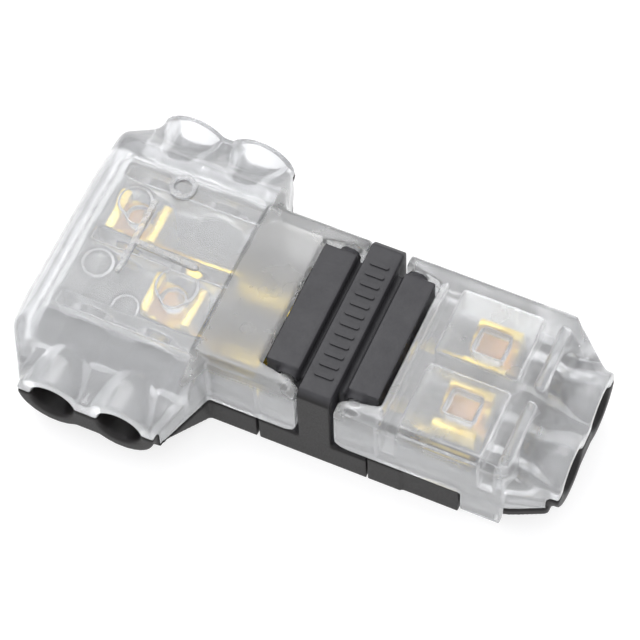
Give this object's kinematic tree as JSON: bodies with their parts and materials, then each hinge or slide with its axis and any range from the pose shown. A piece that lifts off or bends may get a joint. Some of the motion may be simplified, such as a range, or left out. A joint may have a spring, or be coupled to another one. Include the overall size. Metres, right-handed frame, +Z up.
{
  "type": "t-tap quick splice wire connector",
  "caption": "T-shaped quick-splice wire connector: black base and collar, hinged clear covers over slotted brass contacts, wire ports at the tee head and the stem.",
  "frame": {"origin": "on the flat underside, below the middle of the centre collar", "axes": "+X runs along the stem from the collar to the stem's wire ports, the tee head lies at -X with its wires along Y, +Z is up through the covers"},
  "size_m": [0.0378, 0.0222, 0.0081],
  "materials": {
    "black_nylon": "satin moulded",
    "clear_polycarbonate": "clear with a soft moulded frost",
    "contact_brass": "bright stamped"
  },
  "bodies": {
    "base": {"base_housing": "black_nylon", "hinge_collar": "black_nylon", "contact_strip_a": "contact_brass", "contact_strip_b": "contact_brass", "tee_terminal_a": "contact_brass", "tee_terminal_b": "contact_brass", "stem_terminal_a": "contact_brass", "stem_terminal_b": "contact_brass"},
    "tee_cover": {"tee_cover": "clear_polycarbonate"},
    "stem_cover": {"stem_cover": "clear_polycarbonate"}
  },
  "joints": [
    {"name": "tee_cover_hinge", "type": "hinge", "parent": "base", "child": "tee_cover", "pos_m": [-0.0023, 0, 0.00715], "axis": [0, 1, 0], "range_deg": [0, 80]},
    {"name": "stem_cover_hinge", "type": "hinge", "parent": "base", "child": "stem_cover", "pos_m": [0.00245, 0, 0.00715], "axis": [0, -1, 0], "range_deg": [0, 80]}
  ]
}
